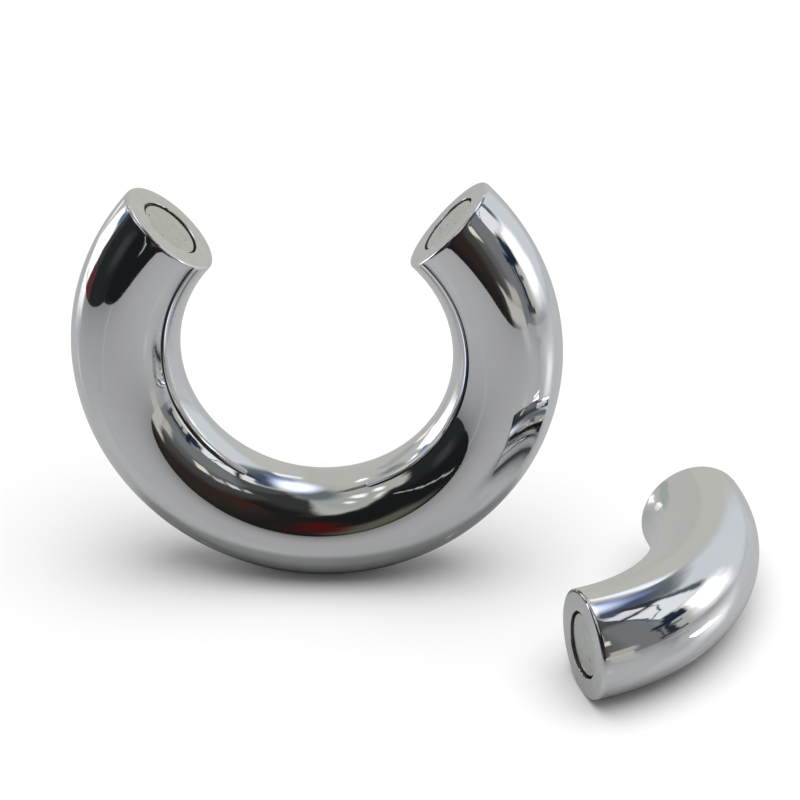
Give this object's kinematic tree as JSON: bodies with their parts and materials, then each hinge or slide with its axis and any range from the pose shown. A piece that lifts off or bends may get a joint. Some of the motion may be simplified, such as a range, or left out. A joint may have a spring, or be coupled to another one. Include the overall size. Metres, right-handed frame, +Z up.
{
  "type": "two-part magnetic split ring",
  "caption": "Polished metal ring of round section, cut into a long arc and a short arc whose flat ends carry disc magnets, so that it swivels, opens and snaps shut.",
  "frame": {"origin": "middle of the assembly's footprint, on the surface that both arcs rest on", "axes": "+X across the standing long arc towards the lying short arc, +Y through the long arc's hole to the back, +Z up"},
  "size_m": [0.088, 0.0476, 0.0539],
  "materials": {
    "polished_steel": "mirror polished bar with satin lapped end faces",
    "magnet_nickel": "satin nickel plate, finely scratched",
    "cured_adhesive": "dark hardened adhesive"
  },
  "bodies": {
    "long_segment": {"long_arc": "polished_steel", "right_magnet": "magnet_nickel", "right_adhesive": "cured_adhesive"},
    "left_magnet_seat": {"left_magnet": "magnet_nickel", "left_adhesive": "cured_adhesive"},
    "far_magnet_seat": {"far_magnet": "magnet_nickel", "far_adhesive": "cured_adhesive"},
    "short_segment": {"short_arc": "polished_steel", "near_magnet": "magnet_nickel", "near_adhesive": "cured_adhesive"}
  },
  "joints": [
    {"name": "left_joint_swivel", "type": "hinge", "parent": "long_segment", "child": "left_magnet_seat", "pos_m": [-0.03049, 0.01682, 0.04797], "axis": [-0.6844, -0.0073, -0.7291], "range_deg": [0, 45]},
    {"name": "segment_carry", "type": "hinge", "parent": "left_magnet_seat", "child": "far_magnet_seat", "pos_m": [0.01092, 0.01154, 0.02903], "axis": [-0.2247, -0.9491, 0.2206], "range_deg": [0, 158.94]},
    {"name": "far_joint_swivel", "type": "hinge", "parent": "far_magnet_seat", "child": "short_segment", "pos_m": [0.03598, 0.01312, 0.007], "axis": [-0.2949, 0.9555, 0], "range_deg": [0, 114.06]}
  ]
}
